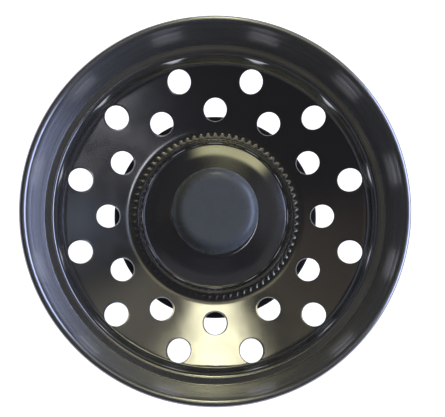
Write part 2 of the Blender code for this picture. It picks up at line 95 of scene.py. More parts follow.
class Finish(Enum):
    """The finishes. Each has the name of its material and of the record's slot."""

    STAINLESS = ("buffed_stainless_sheet", "stainless")
    ACETAL = ("moulded_grey_acetal", "knob_plastic")
    NITRILE = ("moulded_nitrile_rubber", "rubber")
    ZINC = ("bright_zinc_plated_steel", "zinc_steel")
    NICKEL = ("nickel_plated_brass", "plated_brass")
    BRASS = ("turned_brass", "brass")
    BEARING = ("lapped_bearing_steel", "ball_steel")
    SPRING = ("drawn_spring_wire", "zinc_steel")

    def __init__(self, material: str, slot: str) -> None:
        """Keeps the names."""
        self.material = material
        self.slot = slot


class Side(Enum):
    """The side of a detent ball, as the sign of X, with its body, its joint and its node."""

    RIGHT = (1, "right_ball", "right_ball_slide", "detent_ball_right")
    LEFT = (-1, "left_ball", "left_ball_slide", "detent_ball_left")

    def __init__(self, sign: int, body: str, joint: str, node: str) -> None:
        """Keeps the sign and the names.

        Args:
            sign: The sign of X.
            body: The ball's body.
            joint: The joint that it slides on.
            node: Its CAD node.
        """
        self.sign = sign
        self.body = body
        self.joint = joint
        self.node = node


# Grids and profiles


@dataclass(frozen=True)
class Surface:
    """A patch of quads: vertices of shape (n, 3), in millimetres, and faces of shape (m, 4)."""

    points: Array
    quads: Array


def grid_surface(points: Array, wrap_rows: bool = False, wrap_columns: bool = True) -> Surface:
    """Makes quads between the neighbours of a grid of points.

    Args:
        points: The grid, of shape (rows, columns, 3).
        wrap_rows: Whether the last row joins the first.
        wrap_columns: Whether the last column joins the first.

    Returns:
        The surface.
    """
    rows, columns = points.shape[:2]
    numbers = np.arange(rows * columns).reshape(rows, columns)
    below = np.roll(numbers, -1, axis=0)
    if not wrap_rows:
        numbers, below = numbers[:-1], below[:-1]
    right, below_right = np.roll(numbers, -1, axis=1), np.roll(below, -1, axis=1)
    quads = np.stack([numbers, right, below_right, below], axis=-1)
    if not wrap_columns:
        quads = quads[:, :-1]
    return Surface(points.reshape(-1, 3), quads.reshape(-1, 4))


def round_points(radius: Array | float, angle: Array, height: Array | float) -> Array:
    """Points round the Z axis: x = r cos a, y = r sin a, z = height, along a last axis of 3."""
    rows = radius * np.cos(angle), radius * np.sin(angle), height
    return np.stack(np.broadcast_arrays(*rows), axis=-1)


def full_turn(count: int) -> Array:
    """Equal steps of angle round a full turn."""
    return np.arange(count) * tau / count


def rounded(*corners: tuple[float, ...], fillet: float = EDGE_BREAK, closed: bool = False) -> Array:
    """Rounds the corners of a polyline with arcs that touch both of their runs.

    An arc of radius f at a corner that turns by t starts f tan(t / 2) before it.

    Args:
        corners: Each corner's radius and height, and its own fillet if it has one.
        fillet: The fillet of the other corners.
        closed: Whether the last corner joins the first.

    Returns:
        The points, of shape (n, 2).
    """
    spots = np.array([corner[:2] for corner in corners])
    out = []
    for index, (here, corner) in enumerate(zip(spots, corners)):
        bend = corner[2] if len(corner) > 2 else fillet
        if bend == 0 or not (closed or 0 < index < len(corners) - 1):
            out.append(here)
            continue
        back, ahead = spots[index - 1] - here, spots[(index + 1) % len(spots)] - here
        back, ahead = back / np.linalg.norm(back), ahead / np.linalg.norm(ahead)
        turn = pi - acos(float(np.clip(back @ ahead, -1, 1)))
        middle = (back + ahead) / np.linalg.norm(back + ahead)
        centre = here + middle * bend / cos(turn / 2)
        arm = here + back * bend * tan(turn / 2) - centre
        way = 1 if back[0] * ahead[1] - back[1] * ahead[0] < 0 else -1
        angles = way * np.linspace(0, turn, max(3, ceil(turn / ARC_STEP)) + 1)
        cosine, sine = np.cos(angles), np.sin(angles)
        arc = [arm[0] * cosine - arm[1] * sine, arm[0] * sine + arm[1] * cosine]
        out.extend(centre + np.stack(arc, axis=-1))
    return np.array(out)


def divided(profile: Array, longest: float, closed: bool = False) -> Array:
    """Splits the long runs of a profile into equal steps, and keeps its own points.

    Args:
        profile: The points, of shape (n, 2).
        longest: The longest step that may be left.
        closed: Whether the run from the last point to the first is split too.

    Returns:
        The finer profile.
    """
    runs = list(zip(profile, np.roll(profile, -1, axis=0)))
    parts = []
    for start, end in runs if closed else runs[:-1]:
        steps = max(1, ceil(float(np.linalg.norm(end - start)) / longest))
        parts.append(start + (end - start) * np.arange(steps)[:, None] / steps)
    return np.concatenate(parts if closed else [*parts, profile[-1:]])


def turned(profile: Array, columns: int, closed: bool = False) -> Surface:
    """Carries a profile, or a loop if it is closed, round Z in a number of columns."""
    grid = round_points(profile[:, :1], full_turn(columns), profile[:, 1:])
    return grid_surface(grid, wrap_rows=closed)


def swept(path: Array, across: Array, up: Array, section: Array) -> Surface:
    """Carries a closed section along a path, and closes both ends with a fan.

    A point is path + u * across + v * up, for each (u, v) of the section.

    Args:
        path: The points of the path, of shape (n, 3).
        across: The section's first axis at each of them, of shape (n, 3).
        up: Its second axis, of shape (n, 3).
        section: The (u, v) points of the section, of shape (m, 2).

    Returns:
        The surface.
    """
    wide, tall = section[:, 0, None] * across[:, None], section[:, 1, None] * up[:, None]
    grid = path[:, None] + wide + tall
    ends = np.broadcast_to(grid.mean(axis=1, keepdims=True), grid.shape)
    return grid_surface(np.concatenate([ends[:1], grid, ends[-1:]]))


def welded_mesh(name: str, surfaces: list[Surface]) -> bpy.types.Mesh:
    """Joins surfaces into one mesh in metres, welded where their edges meet.

    Args:
        name: The mesh's name.
        surfaces: The patches, in millimetres in the strainer's own frame.

    Returns:
        The mesh.
    """
    starts = np.cumsum([0] + [len(surface.points) for surface in surfaces[:-1]])
    points = np.concatenate([surface.points for surface in surfaces]) * MM
    quads = np.concatenate([surface.quads + start for surface, start in zip(surfaces, starts)])
    mesh = bpy.data.meshes.new(name)
    mesh.from_pydata(points.tolist(), [], quads.tolist())
    work = bmesh.new()
    work.from_mesh(mesh)
    bmesh.ops.remove_doubles(work, verts=work.verts, dist=WELD)
    bmesh.ops.recalc_face_normals(work, faces=work.faces)
    work.to_mesh(mesh)
    work.free()
    return mesh


def linked(name: str, data: bpy.types.Mesh | bpy.types.Camera) -> Piece:
    """Makes an object at the origin, and links it to the scene.

    Args:
        name: The object's name.
        data: Its mesh or camera.

    Returns:
        The object.
    """
    made = bpy.data.objects.new(name, data)
    bpy.context.scene.collection.objects.link(made)
    return made


def make_piece(
    name: str,
    surfaces: list[Surface],
    finish: Finish,
    node: str,
    body: str = ROOT,
    sharp: float = 35,
) -> Piece:
    """Makes one closed piece, and puts it in place of its CAD node.

    Args:
        name: The piece's name.
        surfaces: Its patches.
        finish: What it is made of.
        node: The CAD node that it stands for.
        body: The body that carries it.
        sharp: The angle between faces, in degrees, past which an edge isn't smoothed.

    Returns:
        The object, at the origin.
    """
    mesh = welded_mesh(name, surfaces)
    mesh.shade_smooth()
    mesh.set_sharp_from_angle(angle=radians(sharp))
    mesh.materials.append(bpy.data.materials[finish.material])
    piece = linked(name, mesh)
    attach(piece, body)
    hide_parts(node)
    LOG.info("%s: %d faces", name, len(mesh.polygons))
    return piece


@dataclass(frozen=True)
class NodeSpan:
    """Where a CAD node lies, in millimetres: its lowest and its highest corner."""

    low: Array
    high: Array

    @classmethod
    def of(cls, node: str) -> NodeSpan:
        """Reads a node's corners from the frame."""
        low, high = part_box(node)
        return cls(np.array(low) / MM, np.array(high) / MM)

    @property
    def bottom(self) -> float:
        """Height of the lowest point."""
        return float(self.low[2])

    @property
    def top(self) -> float:
        """Height of the highest point."""
        return float(self.high[2])

    @property
    def radius(self) -> float:
        """Radius of a round node on the axis, read along X."""
        return float(self.high[0])


@dataclass(frozen=True)
class Sheet:
    """A pressed sheet of even thickness, turned from the line along its middle.

    Attributes:
        path: The middle line, as (radius, height) points, with the upper side on its left.
        thickness: The sheet's thickness.
        edge_round: The radius on its cut edges.
        along: Distance of each point from the start of the line.
        normal: Unit vectors to the left of the line.
    """

    path: Array
    thickness: float
    edge_round: float = EDGE_BREAK
    along: Array = field(init=False)
    normal: Array = field(init=False)

    def __post_init__(self) -> None:
        """Works out the length and the normals of the middle line."""
        steps = np.linalg.norm(np.diff(self.path, axis=0), axis=1)
        along = np.concatenate([[0], np.cumsum(steps)])
        slope = np.gradient(self.path, along, axis=0)
        slope /= np.linalg.norm(slope, axis=1, keepdims=True)
        object.__setattr__(self, "along", along)
        object.__setattr__(self, "normal", np.stack([-slope[:, 1], slope[:, 0]], axis=-1))

    @property
    def length(self) -> float:
        """Length of the middle line."""
        return float(self.along[-1])

    def at_radius(self, radius: Array | float) -> Array:
        """Distance along the line at which it first reaches a radius."""
        rising = int(np.argmax(self.path[:, 0])) + 1
        return np.interp(radius, self.path[:rising, 0], self.along[:rising])

    def points(self, along: Array, angle: Array, offset: Array) -> Array:
        """Points of the sheet: path(s) + offset * normal(s), turned by an angle.

        Args:
            along: Distance along the middle line.
            angle: Angle round the axis.
            offset: Distance from the middle, positive on the upper side.

        Returns:
            The points, with one more axis, of length 3, than the arguments.
        """
        radius, height = (
            np.interp(along, self.along, self.path[:, axis])
            + offset * np.interp(along, self.along, self.normal[:, axis])
            for axis in (0, 1)
        )
        return round_points(radius, angle, height)

    def lip(self) -> tuple[Array, Array]:
        """The cut edge, from the upper face over two small rounds to the lower face.

        Returns:
            How far each row lies inside the cut, and its offset from the middle.
        """
        turn = np.linspace(0, pi / 2, LIP_POINTS)
        inset = self.edge_round * (1 - np.sin(turn))
        offset = self.thickness / 2 - self.edge_round * (1 - np.cos(turn))
        return np.concatenate([inset, inset[::-1]]), np.concatenate([offset, -offset[::-1]])

    def strip(self, start: float, end: float, columns: int, longest: float) -> Surface:
        """Both faces of a stretch of the sheet, with a lip at each end of the sheet in it.

        Args:
            start: Where the stretch begins along the line.
            end: Where it stops.
            columns: Steps in a full turn.
            longest: The longest step along the line.

        Returns:
            The surface.
        """
        begins, ends = start <= 0, end >= self.length
        half = self.thickness / 2
        first = start + self.edge_round * begins
        last = end - self.edge_round * ends
        inside = self.along[(self.along > first) & (self.along < last)]
        stops = np.concatenate([[first], inside, [last]])
        stops = divided(np.stack([stops, np.zeros_like(stops)], axis=-1), longest)[:, 0]
        inset, offset = self.lip()
        upper = (stops, np.full(len(stops), half))
        lower = (stops[::-1], np.full(len(stops), -half))
        end_lip = (end - inset[1:-1], offset[1:-1])
        start_lip = (start + inset[-2:0:-1], offset[-2:0:-1])
        if ends:
            rows = [upper, end_lip, lower, start_lip][: 4 if begins else 3]
        else:
            rows = [lower, start_lip, upper]
        along, level = (np.concatenate([row[axis] for row in rows])[:, None] for axis in (0, 1))
        return grid_surface(self.points(along, full_turn(columns), level), begins and ends)


def pressed_piece(name: str, node: str, path: Array, thickness: float, columns: int) -> Piece:
    """Makes a small piece of pressed stainless sheet from the middle line of the sheet.

    Args:
        name: The piece's name.
        node: The CAD node that it stands for.
        path: The middle line, as (radius, height) points.
        thickness: The sheet's thickness.
        columns: Steps in a full turn.

    Returns:
        The object.
    """
    line = Sheet(divided(path, SHEET_STEP), thickness)
    surface = line.strip(0, line.length, columns, SHEET_STEP)
    return make_piece(name, [surface], Finish.STAINLESS, node, sharp=ROUND_SHARP)


# The cup


@dataclass(frozen=True)
class HoleRing:
    """A ring of drain holes.

    Attributes:
        radius: Of the circle through the holes' centres.
        radial: Half a hole's size along the radius.
        tangential: Half its size across the radius.
        start: Angle of the first hole.
    """

    radius: float
    radial: float
    tangential: float
    start: float


@dataclass
class BasketCup:
    """The stamped cup with its rolled rim and its drain holes.

    Radii and heights are of the middle of the sheet.
    """

    sheet: float = 0.7
    bead: float = 1.6
    bead_end: float = radians(-75)
    taper: float = radians(12)
    ledge_depth: float = 14.3
    ledge_inner: float = 34.8
    ledge_fillet: float = 0.6
    riser_slope: float = radians(84)
    dish_slope: float = radians(11)
    dish_corner: float = 1.8
    flat_radius: float = 19.0
    floor_blend: float = 6.0
    bore: float = STUD_HOLE
    holes: int = 12
    hole: float = 5.0
    inner_ring: float = 23.4
    outer_ring: float = 30.4
    inner_stretch: float = 1.02
    outer_stretch: float = 1.07
    cell_bounds: tuple[float, float, float] = (19.9, 26.8, 33.62)
    cell_steps: int = 12
    cell_rows: int = 8
    cell_crowding: float = 1.4
    floor_step: float = 1.2
    wall_step: float = 0.7

    def middle(self, span: NodeSpan) -> Array:
        """The middle line of the sheet, from the stud hole to the end of the curl.

        Args:
            span: The box of the CAD shell.

        Returns:
            The (radius, height) points.
        """
        floor = span.bottom + self.sheet / 2
        ledge = span.top - self.ledge_depth
        curl = (self.bead - self.sheet) / 2
        bead = np.array([span.radius, span.top]) - self.bead / 2
        start = pi - self.taper
        wall_top = bead + curl * np.array([cos(start), sin(start)])
        wall_foot = wall_top[0] - (wall_top[1] - ledge) * tan(self.taper)
        riser, dish = tan(self.riser_slope), tan(self.dish_slope)
        corner = floor - self.flat_radius * dish - ledge + self.ledge_inner * riser
        corner /= riser - dish
        line = rounded(
            (self.bore, floor),
            (self.flat_radius, floor, self.floor_blend),
            (corner, floor + (corner - self.flat_radius) * dish, self.dish_corner),
            (self.ledge_inner, ledge),
            (wall_foot, ledge),
            tuple(wall_top),
            fillet=self.ledge_fillet,
        )
        turn = np.arange(start, self.bead_end, -ARC_STEP)[1:]
        curled = bead + curl * np.stack([np.cos(turn), np.sin(turn)], axis=-1)
        return divided(np.concatenate([line, curled]), self.wall_step)

    def cell(self, line: Sheet, ring: HoleRing, inner: float, outer: float, number: int) -> Surface:
        """One drain hole with the patch of sheet round it.

        The patch is a grid. Its rows run from a rectangle, in distance along the sheet and
        angle, to the oval hole, over the hole's rounded edges, and back to the same
        rectangle on the lower face. In between, a point is (1 - v) * oval + v * rectangle.

        Args:
            line: The sheet.
            ring: The ring that the hole belongs to.
            inner: Where the patch begins along the sheet.
            outer: Where it ends.
            number: Which hole of the ring.

        Returns:
            The surface.
        """
        steps, rows = self.cell_steps, self.cell_rows
        share = np.arange(steps) / steps
        ones = np.ones(steps)
        half = pi / self.holes
        edge_angle = half * np.concatenate([2 * share - 1, ones, 1 - 2 * share, -ones])
        sides = [outer * ones, outer - (outer - inner) * share]
        sides += [inner * ones, inner + (outer - inner) * share]
        edge_along = np.concatenate(sides)
        turn = full_turn(4 * steps) - pi / 4

        inset, offset = line.lip()
        blend = (1 - np.arange(rows) / rows) ** self.cell_crowding
        blend = np.concatenate([blend, np.zeros(len(inset)), blend[::-1]])[:, None]
        face = np.full(rows, line.edge_round)
        grown = np.concatenate([face, inset, face])[:, None]
        level = np.full(rows, line.thickness / 2)
        level = np.concatenate([level, offset, -level])[:, None]

        x = ring.radius + (ring.radial + grown) * np.cos(turn)
        y = (ring.tangential + grown) * np.sin(turn)
        along = (1 - blend) * line.at_radius(np.hypot(x, y)) + blend * edge_along
        angle = (1 - blend) * np.arctan2(y, x) + blend * edge_angle
        return grid_surface(line.points(along, angle + ring.start + number * 2 * half, level))

    def build(self) -> Piece:
        """Builds the cup.

        Returns:
            The object.
        """
        line = Sheet(self.middle(NodeSpan.of("basket_shell")), self.sheet)
        bounds = [float(line.at_radius(radius)) for radius in self.cell_bounds]
        columns = self.holes * self.cell_steps
        surfaces = [
            line.strip(0, bounds[0], columns, self.floor_step),
            line.strip(bounds[2], line.length, columns, self.wall_step),
        ]
        half = self.hole / 2
        rings = [
            HoleRing(self.inner_ring, half * self.inner_stretch, half, 0),
            HoleRing(self.outer_ring, half * self.outer_stretch, half, pi / self.holes),
        ]
        for ring, inner, outer in zip(rings, bounds, bounds[1:]):
            surfaces += [self.cell(line, ring, inner, outer, n) for n in range(self.holes)]
        return make_piece(
            "basket_cup", surfaces, Finish.STAINLESS, "basket_shell", sharp=ROUND_SHARP
        )


# The centre stack


@dataclass
class ToothedRing:
    """The flat ring whose fine teeth show round the foot of the cap."""

    teeth: int = 72
    tooth_depth: float = 0.8
    inner: float = 14.6
    crown: float = radians(1)
    small: float = 0.04
    bevel: float = 0.3
    bevel_slope: float = radians(7)
    wave_gain: float = 1.5
    steps_per_tooth: int = 8

    def build(self) -> Piece:
        """Builds the ring.

        The outer radius is root + depth * w, where w is a cosine of the tooth number that is
        cut off flat at both ends. Past the root, the upper face falls by tan(crown) *
        distance. The bevel at the edge is widest on a tooth's tip.

        Returns:
            The object.
        """
        span = NodeSpan.of("tooth_washer")
        angle = full_turn(self.teeth * self.steps_per_tooth)
        wave = np.clip(0.5 + self.wave_gain / 2 * np.cos(self.teeth * angle), 0, 1)
        root, small = span.radius - self.tooth_depth, self.small
        outer = root + self.tooth_depth * wave
        start = root - self.tooth_depth / 2
        bevel = small + (self.bevel - small) * wave
        crest = span.top - (outer - bevel - start) * tan(self.crown)
        rows = [
            (self.inner + small, span.bottom),
            (start, span.bottom),
            (outer - small, span.bottom),
            (outer, span.bottom + small),
            (outer, crest - bevel * tan(self.bevel_slope)),
            (outer - bevel, crest),
            (start, span.top),
            (self.inner + small, span.top),
            (self.inner, span.top - small),
            (self.inner, span.bottom + small),
        ]
        grid = np.array([round_points(radius, angle, height) for radius, height in rows])
        surface = grid_surface(grid, wrap_rows=True)
        return make_piece("toothed_ring", [surface], Finish.STAINLESS, "tooth_washer", sharp=30)


@dataclass
class CentreCap:
    """The pressed dome between the knob and the cup, with its brim.

    Radii are of the middle of the sheet.
    """

    sheet: float = 0.6
    height: float = 4.6
    bore: float = STUD_HOLE
    shoulder_radius: float = 9.3
    shoulder_drop: float = 0.12
    shoulder_blend: float = 2.0
    flank_radius: float = 13.2
    flank_drop: float = 1.2
    flank_blend: float = 10.0
    edge_height: float = 2.2
    edge_blend: float = 0.8
    edge_draft: float = 0.85
    brim_radius: float = 16.85
    brim_width: float = 0.55
    brim_rise: float = radians(6.5)
    foot_blend: float = 0.35
    columns: int = 144

    def build(self) -> Piece:
        """Builds the cap.

        Returns:
            The object.
        """
        span = NodeSpan.of("centre_cap")
        top, bottom = span.top - self.sheet / 2, span.top - self.height
        foot, foot_height = self.brim_radius - self.brim_width, bottom + self.sheet / 2
        path = rounded(
            (self.bore, top),
            (self.shoulder_radius, top - self.shoulder_drop, self.shoulder_blend),
            (self.flank_radius, top - self.flank_drop, self.flank_blend),
            (foot - self.edge_draft, bottom + self.edge_height, self.edge_blend),
            (foot, foot_height, self.foot_blend),
            (self.brim_radius, foot_height + self.brim_width * tan(self.brim_rise)),
        )
        return pressed_piece("pressed_centre_cap", "centre_cap", path, self.sheet, self.columns)


@dataclass
class GripKnob:
    """The moulded knob and the threaded bush inside it."""

    head_height: float = 4.6
    top_round: float = 2.6
    lip_round: float = 1.1
    undercut: float = 3.4
    neck: float = 5.6
    neck_round: float = 2.6
    foot: float = 7.4
    foot_height: float = 1.0
    foot_flare: float = 2.8
    foot_blend: float = 1.6
    foot_edge: float = 0.25
    clearance: float = 0.3
    web: float = 1.2
    bore: float = STUD_HOLE
    groove_depth: float = 0.5
    groove_width: float = 2.0
    longest: float = 0.7
    columns: int = 128
    bush_columns: int = 64

    def build(self) -> list[Piece]:
        """Builds the knob and its bush.

        Returns:
            The two objects.
        """
        knob, bush = NodeSpan.of("knob"), NodeSpan.of("knob_insert")
        head_bottom = knob.top - self.head_height
        foot_top = knob.bottom + self.foot_height
        socket, socket_top = bush.radius + self.clearance, bush.top + self.clearance
        profile = rounded(
            (0, knob.top),
            (knob.radius, knob.top, self.top_round),
            (knob.radius, head_bottom, self.lip_round),
            (self.neck, head_bottom - self.undercut, self.neck_round),
            (self.neck, foot_top + self.foot_flare, self.foot_blend),
            (self.foot, foot_top),
            (self.foot, knob.bottom),
            (socket, knob.bottom),
            (socket, socket_top),
            (0, socket_top),
            fillet=self.foot_edge,
        )
        surface = turned(divided(profile, self.longest), self.columns)
        grip = make_piece("grip_knob", [surface], Finish.ACETAL, "knob", sharp=ROUND_SHARP)

        middle, half = (bush.top + bush.bottom) / 2, self.groove_width / 2
        waist = bush.radius - self.groove_depth
        profile = rounded(
            (0, bush.top),
            (bush.radius, bush.top),
            (bush.radius, middle + half),
            (waist, middle + half),
            (waist, middle - half),
            (bush.radius, middle - half),
            (bush.radius, bush.bottom),
            (self.bore, bush.bottom),
            (self.bore, bush.top - self.web),
            (0, bush.top - self.web),
        )
        surface = turned(profile, self.bush_columns)
        return [grip, make_piece("threaded_bush", [surface], Finish.BRASS, "knob_insert")]


@dataclass
class SealStack:
    """What is clamped under the cup: the backing plate, the rubber stopper and its washer."""

    bore: float = STUD_HOLE
    lip: float = 1.6
    lip_round: float = 0.4
    seal_inner: float = 17.8
    crown_radius: float = 12.0
    crown_round: float = 1.0
    web: float = 1.4
    relief_slope: float = 1.0
    hub_radius: float = 9.8
    longest: float = 0.8
    stopper_columns: int = 144
    washer_sheet: float = 0.8
    washer_corner: float = 0.9
    columns: int = 96

    def plate(self) -> Piece:
        """Builds the backing plate.

        Returns:
            The object.
        """
        span = NodeSpan.of("backing_plate")
        profile = rounded(
            (self.bore, span.top),
            (span.radius, span.top, 2 * EDGE_BREAK),
            (span.radius, span.bottom),
            (self.bore, span.bottom),
            closed=True,
        )
        surface = turned(profile, self.columns, True)
        return make_piece("steel_backing_plate", [surface], Finish.ZINC, "backing_plate")

    def stopper(self) -> Piece:
        """Builds the rubber stopper, whose web keeps its thickness below the sloping top.

        Returns:
            The object.
        """
        span = NodeSpan.of("rubber_stopper")
        web_edge = self.seal_inner - self.relief_slope
        fall = (span.top - self.lip) / (span.radius - self.crown_radius)
        profile = rounded(
            (self.bore, span.top, 0),
            (self.crown_radius, span.top, self.crown_round),
            (span.radius, self.lip),
            (span.radius, 0),
            (self.seal_inner, 0),
            (web_edge, span.top - (web_edge - self.crown_radius) * fall - self.web),
            (self.hub_radius, span.top - self.web, self.web / 2),
            (self.hub_radius, span.bottom),
            (self.bore, span.bottom, 0),
            fillet=self.lip_round,
            closed=True,
        )
        surface = turned(divided(profile, self.longest, True), self.stopper_columns, True)
        return make_piece("stopper_disc", [surface], Finish.NITRILE, "rubber_stopper", sharp=50)

    def washer(self) -> Piece:
        """Builds the cup washer.

        Returns:
            The object.
        """
        span = NodeSpan.of("cup_washer")
        middle, rim = span.bottom + self.washer_sheet / 2, span.radius - self.washer_sheet / 2
        path = rounded((self.bore, middle), (rim, middle, self.washer_corner), (rim, span.top))
        return pressed_piece(
            "pressed_cup_washer", "cup_washer", path, self.washer_sheet, self.columns
        )

    def build(self) -> list[Piece]:
        """Builds the three pieces."""
        return [self.plate(), self.stopper(), self.washer()]


# The post


@dataclass
class PostHardware:
    """The threaded stud, the split washer and the two nuts on it.

    Attributes:
        root_start: Where the thread's root begins, in half pitches from the crest's middle.
        crest_end: Where its crest ends, likewise.
    """

    pitch: float = 0.8
    thread_depth: float = 0.49
    root_start: float = 0.75
    crest_end: float = 0.125
    pitch_rows: int = 12
    stud_columns: int = 40
    chamfer: float = 0.6
    bore: float = STUD_HOLE
    washer_lead: float = 0.3
    washer_turn: float = radians(352)
    washer_rows: int = 89
    across_flats: float = 8.0
    sides: int = 6
    nut_chamfer: float = radians(30)
    face_share: float = 0.95
    corner_round: float = 0.3
    flat_points: int = 9
    corner_points: int = 5

    def stud(self) -> Piece:
        """Builds the stud, with its thread.

        With t the distance from the nearest crest in half pitches, the radius is
        root + depth * (root_start - t) / (root_start - crest_end), kept between root and
        crest, and under a cone of 45 degrees at each end.

        Returns:
            The object.
        """
        span = NodeSpan.of("stud")
        rows = ceil((span.top - span.bottom) / self.pitch * self.pitch_rows)
        height = np.linspace(span.bottom, span.top, rows + 1)[:, None]
        angle = full_turn(self.stud_columns)
        phase = (height / self.pitch - angle / tau) % 1
        past_crest = self.root_start - (1 - abs(2 * phase - 1))
        crest = np.clip(past_crest / (self.root_start - self.crest_end), 0, 1)
        end = span.radius - self.chamfer
        cone = end + np.minimum(height - span.bottom, span.top - height)
        radius = np.minimum(span.radius - self.thread_depth * (1 - crest), cone)
        grid = round_points(radius, angle, height)
        poles = grid[[0, -1]] * [0, 0, 1]
        surface = grid_surface(np.concatenate([poles[:1], grid, poles[1:]]))
        return make_piece("threaded_stud", [surface], Finish.ZINC, "stud", sharp=50)

    def split_washer(self) -> Piece:
        """Builds the split washer, a square wire: x = r cos a, y = r sin a, z = lead * a / turn.

        Returns:
            The object.
        """
        span = NodeSpan.of("lock_washer")
        angle = np.linspace(0, self.washer_turn, self.washer_rows)
        away = round_points(1, angle, 0)
        up = np.broadcast_to([0.0, 0.0, 1.0], away.shape)
        wide = (span.radius - self.bore) / 2
        tall = (span.top - span.bottom - self.washer_lead) / 2
        lift = span.bottom + tall + self.washer_lead * angle / self.washer_turn
        path = round_points(self.bore + wide, angle, lift)
        corners = [(wide, -tall), (wide, tall), (-wide, tall), (-wide, -tall)]
        section = rounded(*corners, fillet=2 * EDGE_BREAK, closed=True)
        surface = swept(path, away, up, section)
        return make_piece("split_lock_washer", [surface], Finish.ZINC, "lock_washer")

    def nut(self, name: str, node: str) -> Piece:
        """Builds a hexagon nut.

        The outline is flat / cos a between the corners, and a circle of the corner radius
        round each of them. The chamfer falls by tan 30 times what it lies past the face
        circle.

        Args:
            name: The piece's name.
            node: The CAD node that it stands for.

        Returns:
            The object.
        """
        span = NodeSpan.of(node)
        flat, small = self.across_flats / 2, self.corner_round
        half_side = pi / self.sides
        face = flat * self.face_share
        reach = (flat - small) / cos(half_side)
        touch = atan((flat - small) * tan(half_side) / flat)
        along_flat = np.linspace(-touch, touch, self.flat_points)
        round_corner = np.linspace(touch, 2 * half_side - touch, self.corner_points)[1:-1]
        past = round_corner - half_side
        arc = reach * np.cos(past) + np.sqrt(small**2 - (reach * np.sin(past)) ** 2)
        side_angle = np.concatenate([along_flat, round_corner])
        angle = (side_angle + np.arange(self.sides)[:, None] * 2 * half_side).ravel()
        outline = np.tile(np.concatenate([flat / np.cos(along_flat), arc]), self.sides)
        fall = (outline - face) * tan(self.nut_chamfer)
        half, quarter = EDGE_BREAK / 2, EDGE_BREAK / 4
        rows = [
            (self.bore, span.bottom + small),
            (self.bore + small, span.bottom),
            (face, span.bottom),
            (outline - half, span.bottom + fall - quarter),
            (outline, span.bottom + fall + half),
            (outline, span.top - fall - half),
            (outline - half, span.top - fall + quarter),
            (face, span.top),
            (self.bore + small, span.top),
            (self.bore, span.top - small),
        ]
        grid = np.array([round_points(radius, angle, height) for radius, height in rows])
        surface = grid_surface(grid, wrap_rows=True)
        return make_piece(name, [surface], Finish.ZINC, node, sharp=20)

    def build(self) -> list[Piece]:
        """Builds the nuts, the stud and the washer."""
        nuts = [self.nut("hex_clamp_nut", "clamp_nut"), self.nut("hex_jam_nut", "jam_nut")]
        return [self.stud(), self.split_washer(), *nuts]


